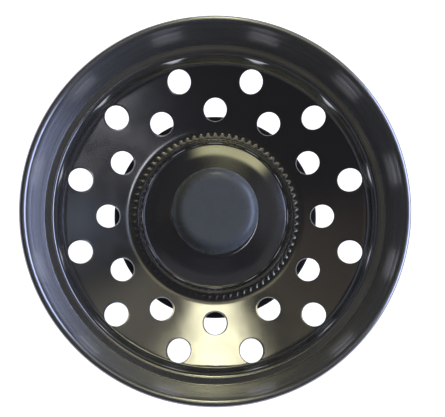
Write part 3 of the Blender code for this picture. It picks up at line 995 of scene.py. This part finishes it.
@dataclass
class BallLockTip:
    """The plated tip with its cross hole, the two balls in it and the spring between them."""

    bore: float = STUD_HOLE
    nose_round: float = 1.8
    nose_step: float = 0.6
    top_chamfer: float = 0.6
    thread_depth: float = 7.0
    head_step: float = 0.8
    ball_height: float = 6.2
    mouth: float = 1.85
    mouth_lip: float = 0.2
    mouth_cone: float = 0.3
    mouth_rings: int = 8
    mouth_crowding: float = 1.3
    hole_clearance: float = 0.3
    hole_step: float = 0.9
    band: float = 2.9
    band_steps: int = 16
    ball_rows: int = 29
    ball_columns: int = 48
    wire: float = 0.35
    wire_columns: int = 12
    coil: float = 3.0
    turns: float = 4
    half_rows: int = 49
    spring_gap: float = 0.1
    ball_travel: float = 0.82

    def level(self) -> float:
        """Height of the ball centres."""
        return NodeSpan.of("ball_head").bottom + self.ball_height

    def mouth_rows(self, radius: float, side: Side) -> Array:
        """The patch of the tip's round wall from a rectangle to the mouth of the cross hole.

        A point of the wall is x = R cos a, y = R sin a. Its (a, z) is blended from the edge
        of the rectangle, 45 degrees to each side, to the mouth's circle, where y = m cos t
        and z = m sin t.

        Args:
            radius: Radius of the wall.
            side: Which mouth.

        Returns:
            The rows, from the rectangle inwards, of shape (rows, columns, 3).
        """
        steps, rings = self.band_steps, self.mouth_rings
        share = 2 * np.arange(steps) / steps - 1
        ones = np.ones(steps)
        across = np.concatenate([share, ones, -share, -ones]) * pi / 4
        up = np.concatenate([-ones, share, ones, -share]) * self.band
        turn = full_turn(4 * steps) - 3 * pi / 4
        blend = (1 - np.arange(rings + 1) / rings)[:, None] ** self.mouth_crowding
        angle = blend * across + (1 - blend) * np.arcsin(self.mouth * np.cos(turn) / radius)
        height = blend * up + (1 - blend) * self.mouth * np.sin(turn) + self.level()
        return round_points(radius, angle, height) * [side.sign, 1, 1]

    def tip(self) -> Piece:
        """Builds the tip: turned ends, a band with two mouths, and the cross hole between.

        Returns:
            The object.
        """
        span, level = NodeSpan.of("ball_head"), self.level()
        radius, columns = span.radius, 4 * self.band_steps
        thread_bottom = span.top - self.thread_depth
        nose = rounded(
            (0, span.bottom), (radius, span.bottom, self.nose_round), (radius, level - self.band)
        )
        head = rounded(
            (radius, level + self.band),
            (radius, span.top - self.top_chamfer),
            (radius - self.top_chamfer, span.top),
            (self.bore, span.top),
            (self.bore, thread_bottom),
            (0, thread_bottom),
        )
        ends = (divided(nose, self.nose_step), divided(head, self.head_step))
        surfaces = [turned(end, columns) for end in ends]
        share = 2 * np.arange(self.band_steps + 1) / self.band_steps - 1
        height = level + self.band * share[:, None]
        for middle in (pi / 2, -pi / 2):
            wall = round_points(radius, middle + pi / 4 * share, height)
            surfaces.append(grid_surface(wall, wrap_columns=False))

        ball = NodeSpan.of(Side.RIGHT.node)
        wide = (ball.top - ball.bottom) / 2 + self.hole_clearance
        lip = radius - self.mouth_lip
        cone = lip - self.mouth_cone
        inside = np.array([(self.mouth, lip), (wide, cone), (wide, -cone), (self.mouth, -lip)])
        inside = divided(inside, self.hole_step)
        turn = full_turn(columns) - 3 * pi / 4
        tube = round_points(inside[:, :1], turn, inside[:, 1:])[..., [2, 0, 1]] + [0, 0, level]
        mouths = [self.mouth_rows(radius, side) for side in Side]
        surfaces.append(grid_surface(np.concatenate([mouths[0], tube, mouths[1][::-1]])))
        return make_piece("ball_lock_tip", surfaces, Finish.NICKEL, "ball_head", sharp=40)

    def ball(self, side: Side) -> Piece:
        """Builds a ball: a half circle turned round Z, and moved to its seat.

        Args:
            side: Which ball.

        Returns:
            The object.
        """
        span = NodeSpan.of(side.node)
        lift = np.linspace(-pi / 2, pi / 2, self.ball_rows)
        profile = (span.top - span.bottom) / 2 * np.stack([np.cos(lift), np.sin(lift)], axis=-1)
        surface = turned(profile, self.ball_columns)
        placed = Surface(surface.points + (span.low + span.high) / 2, surface.quads)
        name = f"steel_ball_{side.name.lower()}"
        return make_piece(name, [placed], Finish.BEARING, side.node, side.body)

    def half_spring(self, side: Side) -> Piece:
        """Builds half of the spring. The real spring shortens as its ball is pushed in; this half
        keeps its length.

        The wire's middle is x = s e t, y = c sin a, z = -c cos a, where a = s t times half
        of the turns. Here s is the side's sign, e the spring's end and c the coil's radius.

        Args:
            side: Which half.

        Returns:
            The object.
        """
        ball = NodeSpan.of(side.node)
        centre = abs(float(ball.low[0] + ball.high[0])) / 2
        coil = (self.coil - self.wire) / 2
        rest = (ball.top - ball.bottom) / 2 + self.wire / 2 + self.spring_gap
        end = centre - sqrt(rest**2 - coil**2)
        share = np.linspace(0, 1, self.half_rows)
        angle = side.sign * share * self.turns / 2 * tau
        away = round_points(1, angle - pi / 2, 0)[:, [2, 0, 1]]
        line = np.stack([side.sign * end * share, 0 * share, 0 * share + self.level()], axis=-1)
        path = away * coil + line
        tangent = np.gradient(path, axis=0)
        tangent /= np.linalg.norm(tangent, axis=1, keepdims=True)
        section = round_points(self.wire / 2, full_turn(self.wire_columns), 0)[:, :2]
        surface = swept(path, away, np.cross(tangent, away), section)
        name = f"detent_coil_{side.name.lower()}"
        spring = make_piece(name, [surface], Finish.SPRING, "detent_spring")
        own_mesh(spring)
        return spring

    def build(self) -> list[Piece]:
        """Builds the tip, the balls and the spring."""
        moving = [part for side in Side for part in (self.ball(side), self.half_spring(side))]
        return [self.tip(), *moving]


# The finishes


def linear(colour: str) -> tuple[float, float, float, float]:
    """Turns an sRGB colour, as #rrggbb, to linear light with an alpha of 1.

    Args:
        colour: The colour.

    Returns:
        The four values.
    """
    values = [int(colour[start : start + 2], 16) / 255 for start in (1, 3, 5)]
    light = (v / 12.92 if v <= 0.04045 else ((v + 0.055) / 1.055) ** 2.4 for v in values)
    return *light, 1.0


def add(tree: Tree, kind: str, inputs: dict | None = None, **settings: str) -> Node:
    """Adds a node with its settings and links.

    Args:
        tree: The node tree.
        kind: The shader node's type.
        inputs: For each socket's name or number, a value, or an output socket to link.
        settings: The node's own properties.

    Returns:
        The node.
    """
    made = tree.nodes.new("ShaderNode" + kind)
    for name, value in settings.items():
        setattr(made, name, value)
    for key, value in (inputs or {}).items():
        if isinstance(value, Socket):
            tree.links.new(value, made.inputs[key])
        else:
            made.inputs[key].default_value = value
    return made


def spread(
    tree: Tree,
    value: Socket,
    source: tuple[float, float],
    target: tuple[float | Socket, ...] = (0.0, 1.0),
    **settings: str,
) -> Socket:
    """Turns one range of a value to another, and keeps it inside.

    Args:
        tree: The node tree.
        value: The value.
        source: The two ends of its range.
        target: What they become, as numbers or sockets.
        settings: The node's own properties.

    Returns:
        The result.
    """
    inputs = {"Value": value, "From Min": source[0], "From Max": source[1]}
    inputs |= {"To Min": target[0], "To Max": target[1]}
    return add(tree, "MapRange", inputs, **settings).outputs["Result"]


def seen_by_lens(tree: Tree, rest: Node, lens: Node) -> Socket:
    """Shows one shader to the lens, and another to what else looks that way.

    Args:
        tree: The node tree.
        rest: The shader for everything but the lens.
        lens: The shader for the lens.

    Returns:
        The mixed shader.
    """
    ray = add(tree, "LightPath").outputs["Is Camera Ray"]
    inputs = {0: ray, 1: rest.outputs[0], 2: lens.outputs[0]}
    return add(tree, "MixShader", inputs).outputs[0]


class SurfaceCoordinates:
    """The coordinates that a piece's patterns follow, in metres in the strainer's frame."""

    def __init__(self, tree: Tree) -> None:
        """Adds the nodes.

        The lathe vector is (radius, height, 0), so a noise read with it is the same all the
        way round and looks like turning or buffing marks.

        Args:
            tree: The material's nodes.
        """
        self.place = add(tree, "TexCoord").outputs["Object"]
        inputs = {0: self.place, 1: (1, 1, 0)}
        flat = add(tree, "VectorMath", inputs, operation="MULTIPLY").outputs[0]
        radius = add(tree, "VectorMath", {0: flat}, operation="LENGTH")
        self.height = add(tree, "SeparateXYZ", {"Vector": self.place}).outputs["Z"]
        inputs = {"X": radius.outputs["Value"], "Y": self.height}
        self.lathe = add(tree, "CombineXYZ", inputs).outputs["Vector"]


@dataclass(frozen=True)
class Grain:
    """A noise in a surface.

    Attributes:
        size: Width of its features, in millimetres.
        depth: Height of the relief that it makes, in millimetres.
        turned: Whether it runs round the axis, as tool marks do.
        detail: How many finer layers it has.
    """

    size: float
    depth: float = 0.0
    turned: bool = False
    detail: float = 2.0

    def noise(self, tree: Tree, place: SurfaceCoordinates) -> Socket:
        """Adds the noise, from 0 to 1, at a material's coordinates.

        Args:
            tree: The material's nodes.
            place: Its coordinates.

        Returns:
            The noise's value.
        """
        inputs = {
            "Vector": place.lathe if self.turned else place.place,
            "Scale": 1 / (self.size * MM),
            "Detail": self.detail,
        }
        return add(tree, "TexNoise", inputs).outputs["Fac"]


@dataclass(frozen=True)
class DrawnBand:
    """A band with fine dull rings, left from the drawing, between the buffed ones.

    Attributes:
        low: Height at which it begins, in millimetres. It is full a millimetre above.
        high: Height at which it ends.
        fade: How far below that it starts to fade out.
        rings: The noise that the rings follow.
        dulling: The stretch of that noise over which buffed turns to dull.
        roughness: Of the buffed and of the dull rings.
        metallic: What metallic is there.
        quarter: Turns the spread of the reflections from round the axis to along it.
    """

    low: float
    high: float
    fade: float = 7.0
    rings: Grain = Grain(0.12, turned=True)
    dulling: tuple[float, float] = (0.42, 0.5)
    roughness: tuple[float, float] = (0.24, 0.5)
    metallic: float = 0.88
    quarter: float = 0.25

    def brush(self, tree: Tree, shader: Node, place: SurfaceCoordinates) -> None:
        """Adds the band to a shader whose roughness and metallic are set.

        A dull ring spreads its reflections along the height, and hardly round the axis.

        Args:
            tree: The material's nodes.
            shader: The shader.
            place: Its coordinates.
        """
        low, high = self.low * MM, self.high * MM
        inside = spread(tree, place.height, (low, low + MM))
        inside = spread(tree, place.height, (high, high - self.fade * MM), (0.0, inside))
        rings = self.rings.noise(tree, place)
        drawn = spread(tree, rings, self.dulling, self.roughness)
        buffed = shader.inputs["Roughness"].links[0].from_socket
        inputs = {"Factor": inside} | dict(zip(MIX_NUMBERS, (buffed, drawn)))
        rough = add(tree, "Mix", inputs).outputs[0]
        metallic = (shader.inputs["Metallic"].default_value, self.metallic)
        tangent = add(tree, "Tangent", direction_type="RADIAL", axis="Z").outputs[0]
        sockets = {
            "Anisotropic": spread(tree, rings, self.dulling, (0.0, inside)),
            "Roughness": rough,
            "Metallic": spread(tree, inside, (0.0, 1.0), metallic),
            "Tangent": tangent,
        }
        for name, value in sockets.items():
            tree.links.new(value, shader.inputs[name])
        shader.inputs["Anisotropic Rotation"].default_value = self.quarter


@dataclass(frozen=True)
class Coating:
    """A finish: a shader whose colour and roughness wander a little, over a fine relief.

    Attributes:
        finish: Which finish it is.
        colours: The two colours that it wanders between, as #rrggbb.
        roughness: The lowest and highest roughness.
        mottle: The noise that the colour and roughness follow.
        reliefs: The noises that the bumps follow.
        metallic: 1 for a bare metal.
        ior: The index of refraction, for what isn't a metal.
        drawn: Where it keeps its rings from the drawing.
        wander: The stretch of the mottle over which the roughness changes.
    """

    finish: Finish
    colours: tuple[str, str]
    roughness: tuple[float, float]
    mottle: Grain
    reliefs: tuple[Grain, ...] = ()
    metallic: float = 1
    ior: float = 1.5
    drawn: DrawnBand | None = None
    wander: tuple[float, float] = (0.3, 0.7)

    def build(self) -> bpy.types.Material:
        """Makes the material, named for its finish.

        Returns:
            The material.
        """
        made = bpy.data.materials.new(self.finish.material)
        made.use_nodes = True
        tree = made.node_tree
        shader = tree.nodes["Principled BSDF"]
        place = SurfaceCoordinates(tree)
        mottle = self.mottle.noise(tree, place)
        inputs = {"Factor": mottle} | dict(zip(MIX_COLOURS, map(linear, self.colours)))
        tint = add(tree, "Mix", inputs, data_type="RGBA")
        tree.links.new(tint.outputs[MIXED_COLOUR], shader.inputs["Base Color"])
        rough = spread(tree, mottle, self.wander, self.roughness)
        tree.links.new(rough, shader.inputs["Roughness"])
        shader.inputs["Metallic"].default_value = self.metallic
        if self.metallic < 1:
            shader.inputs["IOR"].default_value = self.ior
        bump = None
        for grain in self.reliefs:
            inputs = {"Height": grain.noise(tree, place), "Distance": grain.depth * MM}
            if bump:
                inputs["Normal"] = bump.outputs["Normal"]
            bump = add(tree, "Bump", inputs)
        if bump:
            tree.links.new(bump.outputs["Normal"], shader.inputs["Normal"])
        if self.drawn:
            self.drawn.brush(tree, shader, place)
        return made


FINISHES = (
    # 304 stainless, deep drawn and then buffed on a wheel: a mirror with a slight orange
    # peel from the drawing and faint rings from the wheel. The wall is buffed lightly and
    # keeps fine dull rings
    Coating(
        Finish.STAINLESS, ("#c9c7c2", "#c1c0bd"), (0.11, 0.15), Grain(6.0),
        (Grain(9.0, 0.03), Grain(0.35, 0.00025, turned=True)),
        metallic=0.94, drawn=DrawnBand(14.2, 31.6),
    ),
    # Acetal moulded in a fine blasted tool: an even grey with a soft sheen
    Coating(
        Finish.ACETAL, ("#7a7c78", "#80827e"), (0.25, 0.31), Grain(3.0),
        (Grain(0.18, 0.0022),), metallic=0, ior=1.48,
    ),
    # Nitrile rubber from a matt tool: nearly black, with a grey bloom
    Coating(
        Finish.NITRILE, ("#141416", "#1d1d1f"), (0.52, 0.66), Grain(4.0),
        (Grain(0.25, 0.004),), metallic=0, ior=1.52,
    ),
    # Bright zinc over turned or stamped steel: bluish, with fine tool rings under it
    Coating(
        Finish.ZINC, ("#b9c0c6", "#a7adb1"), (0.24, 0.36), Grain(1.6),
        (Grain(0.12, 0.0008, turned=True),),
    ),
    # Bright nickel over turned brass: warm silver, with the finest tool rings
    Coating(
        Finish.NICKEL, ("#cbc4b6", "#c2bbab"), (0.14, 0.2), Grain(3.0),
        (Grain(0.14, 0.0006, turned=True),),
    ),
    # Free-cutting brass as it leaves the lathe
    Coating(
        Finish.BRASS, ("#d9b25f", "#c99d4a"), (0.22, 0.3), Grain(1.5),
        (Grain(0.1, 0.001, turned=True),),
    ),
    # A lapped ball: nothing but reflections
    Coating(
        Finish.BEARING, ("#d2d3d5", "#cdced0"), (0.04, 0.07), Grain(1.0),
    ),
    # Drawn wire: satin, with a dull skin from the die
    Coating(
        Finish.SPRING, ("#aaa9a5", "#97958f"), (0.28, 0.36), Grain(0.6),
        (Grain(0.08, 0.001),),
    ),
)


# The studio


@dataclass(frozen=True)
class SoftPanel:
    """A soft panel of light, far away.

    Attributes:
        azimuth: Direction of its middle round the object, in degrees from +X towards +Y.
        zenith: Angle of its middle from straight up, in degrees.
        size: Its width and height as seen from the object, in degrees.
        edge: How softly it ends, in degrees.
        colour: Its colour, as #rrggbb.
        strength: Its radiance.
    """

    azimuth: float
    zenith: float
    size: tuple[float, float]
    edge: float
    colour: str
    strength: float

    def build(self, tree: Tree, direction: Socket) -> Socket:
        """Adds the panel's nodes.

        With c, u and v the directions of the panel's middle, its width and its height, and
        d the direction looked in, the panel covers |d.u / d.c| and |d.v / d.c| up to the
        tangents of its half sizes, where d.c is positive.

        Args:
            tree: The world's nodes.
            direction: The direction looked in.

        Returns:
            The panel's light.
        """
        turn, tilt = radians(self.azimuth), radians(self.zenith)
        out, up = sin(tilt), cos(tilt)
        middle = (out * cos(turn), out * sin(turn), up)
        across = (-sin(turn), cos(turn), 0)
        down = (up * cos(turn), up * sin(turn), -out)

        def math_node(operation: str, *values: float | Socket) -> Socket:
            """Adds a sum of one or two values."""
            inputs = dict(enumerate(values))
            return add(tree, "Math", inputs, operation=operation).outputs[0]

        def share(axis: tuple[float, float, float]) -> Socket:
            """The share of the direction that lies along an axis.

            Args:
                axis: The axis.

            Returns:
                The share.
            """
            inputs = {0: direction, 1: axis}
            node = add(tree, "VectorMath", inputs, operation="DOT_PRODUCT")
            return node.outputs["Value"]

        ahead = math_node("MAXIMUM", share(middle), BEHIND)
        covers = []
        for axis, size in zip((across, down), self.size):
            ratio = math_node("ABSOLUTE", math_node("DIVIDE", share(axis), ahead))
            sizes = (size + self.edge, max(size - self.edge, 0))
            limits = tuple(tan(radians(width) / 2) for width in sizes)
            covers.append(spread(tree, ratio, limits, interpolation_type="SMOOTHSTEP"))
        light = [value * self.strength for value in linear(self.colour)[:3]]
        inputs = {0: light, "Scale": math_node("MULTIPLY", *covers)}
        return add(tree, "VectorMath", inputs, operation="SCALE").outputs["Vector"]


@dataclass
class Studio:
    """The floor, the light and the camera.

    Attributes:
        camera_distance: From the lens to the rim, in millimetres.
        camera_tilt: Angle of the view from straight down, towards -Y.
        aim: The point of the rim's plane that the lens looks at, in millimetres.
        lens: Focal length, in millimetres.
        sensor: Width of the sensor, in millimetres.
        clip: The nearest and farthest that the lens sees, in metres.
        floor_radii: Radii of the floor's rings, in millimetres.
        floor_columns: Steps in a full turn of it.
        floor_colour: Its colour under the lights.
        floor_bounce: What the steel gets from the floor.
        floor_glow: What the floor adds of its own towards the lens.
        room: Colour of the unlit room.
        backdrop: What the lens sees past the floor.
        panels: The lights.
    """

    camera_distance: float = 550
    camera_tilt: float = radians(3.2)
    aim: tuple[float, float] = (1.53, 0.40)
    lens: float = 212
    sensor: float = 36
    clip: tuple[float, float] = (0.01, 20)
    floor_radii: tuple[float, ...] = (0, 60, 400, 2500)
    floor_columns: int = 64
    floor_colour: str = "#f4f4f4"
    floor_bounce: str = "#d0d4e4"
    floor_glow: float = 1.0
    room: str = "#26262a"
    backdrop: str = "#f2f3f4"
    panels: tuple[SoftPanel, ...] = (
        SoftPanel(90, 23, (9, 7), 4, "#fbf8d6", 2.8),
        SoftPanel(88, 12.5, (24, 8), 5, "#efe8c8", 0.3),
        SoftPanel(76, 46, (42, 14), 12, "#e8e6b8", 0.92),
        SoftPanel(88, 63, (9, 20), 4, "#eeecc4", 6.5),
        SoftPanel(56, 23, (12, 8), 6, "#f4ecd8", 0.12),
        SoftPanel(7, 67.5, (66, 35), 4, "#bccaff", 3.8),
        SoftPanel(-30, 12, (12, 4), 4, "#dfe9ff", 0.4),
        SoftPanel(17, 15, (7, 7), 4, "#c8dcff", 0.4),
        SoftPanel(-20, 13, (10, 4), 2, "#e6e8f0", 1.5),
        SoftPanel(150, 24, (24, 10), 8, "#f4dcc8", 0.06),
        SoftPanel(265, 44, (130, 26), 14, "#dfe2ee", 0.045),
        SoftPanel(5, 40, (70, 22), 12, "#dfe2ee", 0.045),
    )

    def camera(self) -> Piece:
        """Sets up the camera, with the top of the picture towards +Y.

        Returns:
            The camera.
        """
        rim = NodeSpan.of("basket_shell").top
        back = Vector((0, -sin(self.camera_tilt), cos(self.camera_tilt)))
        place = Vector((0, 0, rim)) + back * self.camera_distance
        view = (Vector((*self.aim, rim)) - place).normalized()
        right = view.cross(Vector((0, 1, 0))).normalized()
        data = bpy.data.cameras.new("photo_camera")
        data.lens = self.lens
        data.sensor_width = self.sensor
        data.clip_start, data.clip_end = self.clip
        made = linked("photo_camera", data)
        turn = Matrix((right, right.cross(view), -view)).transposed().to_4x4()
        made.matrix_world = Matrix.Translation(place * MM) @ turn
        bpy.context.scene.camera = made
        return made

    def floor(self) -> Piece:
        """Makes the pale floor that the post's tip stands on.

        To the lens it glows like a light table, so it is white under the strainer too. The
        steel gets less of it back, as from a table that isn't lit.

        Returns:
            The floor.
        """
        made = bpy.data.materials.new("pale_light_table")
        made.use_nodes = True
        tree = made.node_tree
        tree.nodes.clear()
        lit = add(tree, "BsdfDiffuse", {"Color": linear(self.floor_colour)})
        inputs = {"Color": linear("#ffffff"), "Strength": self.floor_glow}
        glow = add(tree, "Emission", inputs)
        seen = add(tree, "AddShader", {0: lit.outputs[0], 1: glow.outputs[0]})
        bounce = add(tree, "Emission", {"Color": linear(self.floor_bounce)})
        mix = seen_by_lens(tree, bounce, seen)
        add(tree, "OutputMaterial", {"Surface": mix})

        level = NodeSpan.of("ball_head").bottom
        rings = np.array([(radius, level) for radius in self.floor_radii])
        mesh = welded_mesh("table_top", [turned(rings, self.floor_columns)])
        mesh.materials.append(made)
        table = linked("table_top", mesh)
        return table

    def light(self) -> bpy.types.World:
        """Makes the dark room with its soft panels.

        Returns:
            The world.
        """
        world = bpy.data.worlds.new("studio")
        world.use_nodes = True
        tree = world.node_tree
        tree.nodes.clear()
        direction = add(tree, "TexCoord").outputs["Generated"]
        total = linear(self.room)[:3]
        for panel in self.panels:
            inputs = {0: total, 1: panel.build(tree, direction)}
            total = add(tree, "VectorMath", inputs, operation="ADD").outputs[0]
        room = add(tree, "Background", {"Color": total})
        backdrop = add(tree, "Background", {"Color": linear(self.backdrop)})
        mix = seen_by_lens(tree, room, backdrop)
        add(tree, "OutputWorld", {"Surface": mix})
        bpy.context.scene.world = world
        return world

    def build(self) -> None:
        """Sets up the whole studio."""
        bpy.context.scene.view_settings.view_transform = "Standard"
        self.camera()
        self.floor()
        self.light()


def main() -> None:
    """Loads the frame, dresses it and sets up the studio."""
    logging.basicConfig(level=logging.INFO, format="%(name)s: %(message)s")
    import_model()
    for coating in FINISHES:
        coating.build()
    BasketCup().build()
    ToothedRing().build()
    CentreCap().build()
    GripKnob().build()
    SealStack().build()
    PostHardware().build()
    BallLockTip().build()
    Studio().build()


if __name__ == "__main__":
    main()
